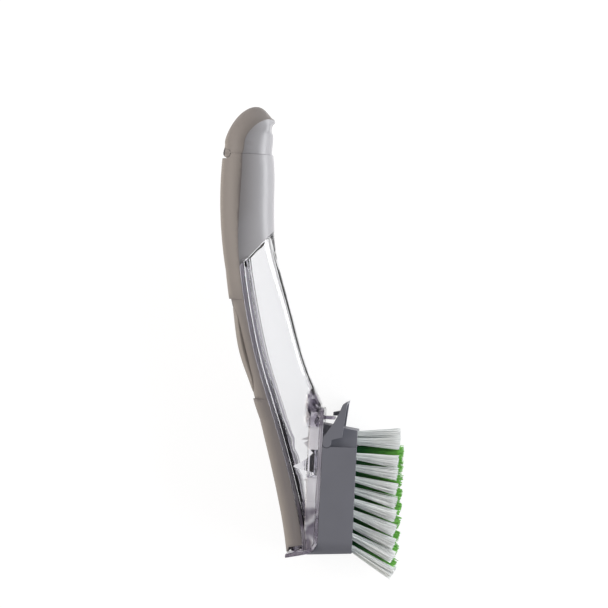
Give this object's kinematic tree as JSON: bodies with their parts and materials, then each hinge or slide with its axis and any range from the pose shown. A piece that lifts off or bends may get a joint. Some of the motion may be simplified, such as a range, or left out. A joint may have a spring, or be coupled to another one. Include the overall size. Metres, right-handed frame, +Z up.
{
  "type": "dish wand",
  "caption": "Curved dish wand with a clear soap chamber, soft back grip, press button, flip fill cap, and a latched brush head with fanned bristle tufts.",
  "frame": {"origin": "centre of the flat side face of the head block, on which the wand lies", "axes": "+X the way the bristles point, +Y from the head up the handle towards the fill cap, +Z up across the width of the head"},
  "size_m": [0.1072, 0.2513, 0.046],
  "materials": {
    "clear_plastic": "clear gloss",
    "soft_gray": "matte",
    "gray_plastic": "satin",
    "pale_rubber": "matte",
    "dark_rubber": "matte",
    "block_gray": "satin",
    "white_bristle": "satin",
    "green_bristle": "satin",
    "steel": "brushed"
  },
  "bodies": {
    "wand": {"reservoir_front": "clear_plastic", "reservoir_back": "clear_plastic", "base_plate": "clear_plastic", "back_grip": "soft_gray", "button_web": "soft_gray", "fill_neck": "gray_plastic", "cap_hinge_pin": "steel", "slit_valve": "pale_rubber", "valve_retainer": "dark_rubber", "head_block": "block_gray", "tuft_anchors": "steel", "side_tufts_low": "white_bristle", "side_tufts_high": "white_bristle", "toe_tufts": "white_bristle", "heel_tufts": "white_bristle", "inner_tufts_a": "green_bristle", "inner_tufts_b": "green_bristle", "inner_tufts_c": "green_bristle", "inner_tufts_d": "green_bristle"},
    "cap": {"fill_cap": "soft_gray", "cap_plug": "pale_rubber"},
    "button": {"soap_button": "soft_gray"},
    "latch": {"latch_lever": "block_gray"}
  },
  "joints": [
    {"name": "cap_flip", "type": "hinge", "parent": "wand", "child": "cap", "pos_m": [-0.06908, 0.179, 0.023], "axis": [0, 0, 1], "range_deg": [0, 95]},
    {"name": "button_press", "type": "slide", "parent": "wand", "child": "button", "axis": [0.9578, 0.2874, 0], "range_m": [0, 0.003], "stiffness_N_per_m": 1500, "deforming": ["button_web"]},
    {"name": "latch_press", "type": "hinge", "parent": "wand", "child": "latch", "pos_m": [-0.0069, 0.0252, 0.023], "axis": [0, 0, -1], "range_deg": [0, 12], "stiffness_Nm_per_rad": 0.4}
  ]
}
